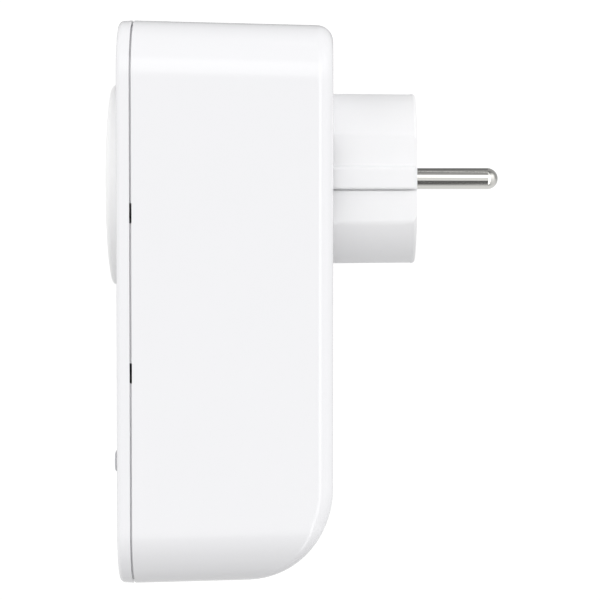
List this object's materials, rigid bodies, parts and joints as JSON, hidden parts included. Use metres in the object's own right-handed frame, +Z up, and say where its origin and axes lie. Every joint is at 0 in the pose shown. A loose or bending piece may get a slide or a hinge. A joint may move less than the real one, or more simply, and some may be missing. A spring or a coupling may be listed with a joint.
{
  "type": "powerline adapter",
  "caption": "Pass-through powerline network adapter: white plug-in housing with a round mains socket in front, an earthed two-pin plug behind and a network port below.",
  "frame": {"origin": "centre of the plug's end face, between the two pins", "axes": "+Y out of the plug into the wall, -Y the socket side, +Z up, +X to the right seen from the front"},
  "size_m": [0.068, 0.0889, 0.1267],
  "materials": {
    "white_shell": "moulded gloss",
    "white_insert": "moulded gloss",
    "grey_button": "moulded gloss",
    "label": "printed film",
    "nickel": "nickel plated",
    "brass": "stamped",
    "screw_steel": "zinc plated",
    "dark_plastic": "moulded",
    "natural_nylon": "moulded",
    "board_green": "solder mask",
    "gold_wire": "gold plated",
    "clear_guide": "clear moulding",
    "led": "encapsulated",
    "winding": "tape wrapped",
    "ferrite": "sintered",
    "can_black": "sleeved can",
    "film_yellow": "moulded box",
    "varistor_blue": "dipped epoxy",
    "aluminium": "extruded",
    "thermal_pad": "silicone",
    "brown_wire": "extruded",
    "blue_wire": "extruded",
    "sheet": "film"
  },
  "bodies": {
    "housing": {"rear_housing": "white_shell", "front_cover": "white_shell", "housing_screws": "screw_steel", "rating_label": "label", "socket_insert": "white_insert", "socket_earth_clips": "nickel", "contact_carrier": "natural_nylon", "line_socket_contact": "brass", "neutral_socket_contact": "brass", "line_busbar": "brass", "neutral_busbar": "brass", "shutter_spring": "screw_steel", "plug_body": "white_insert", "line_pin": "nickel", "neutral_pin": "nickel", "plug_earth_strips": "nickel", "earth_sleeve": "nickel", "earth_link": "brass", "line_wire": "brown_wire", "neutral_wire": "blue_wire", "insulation_sheet": "sheet", "main_board": "board_green", "ethernet_jack": "dark_plastic", "jack_shield": "nickel", "jack_contacts": "gold_wire", "pair_switch": "dark_plastic", "reset_switch": "dark_plastic", "light_guide": "clear_guide", "led_chips": "led", "transformer_bobbin": "dark_plastic", "transformer_winding": "winding", "transformer_core": "ferrite", "bulk_capacitors": "can_black", "filter_capacitor": "film_yellow", "fuse": "can_black", "varistor": "varistor_blue", "choke_core": "ferrite", "choke_winding": "winding", "bridge_rectifier": "dark_plastic", "coupling_transformer": "ferrite", "ethernet_magnetics": "dark_plastic", "modem_chip": "dark_plastic", "thermal_pad": "thermal_pad", "heat_sink": "aluminium", "memory_chip": "dark_plastic", "crystal": "nickel"},
    "pair_button": {"pair_button": "grey_button"},
    "pair_switch_plunger": {"pair_switch_plunger": "dark_plastic"},
    "reset_plunger": {"reset_plunger": "dark_plastic"},
    "socket_shutter": {"socket_shutter": "white_insert"}
  },
  "joints": [
    {"name": "pair_button_press", "type": "slide", "parent": "housing", "child": "pair_button", "axis": [0, 1, 0], "range_m": [0, 0.0005], "stiffness_N_per_m": 900, "springref_m": -0.0003},
    {"name": "pair_switch_press", "type": "slide", "parent": "housing", "child": "pair_switch_plunger", "axis": [0, 1, 0], "range_m": [0, 0.0005]},
    {"name": "reset_press", "type": "slide", "parent": "housing", "child": "reset_plunger", "axis": [0, 0, 1], "range_m": [0, 0.0004], "stiffness_N_per_m": 900, "springref_m": -0.0003},
    {"name": "shutter_turn", "type": "hinge", "parent": "housing", "child": "socket_shutter", "pos_m": [0, -0.0494, -0.0015], "axis": [0, 1, 0], "range_deg": [0, 36], "stiffness_Nm_per_rad": 0.003, "springref_deg": -11.46}
  ],
  "couplings": [
    {"joint": "pair_switch_press", "follows": "pair_button_press", "ratio": 1}
  ]
}
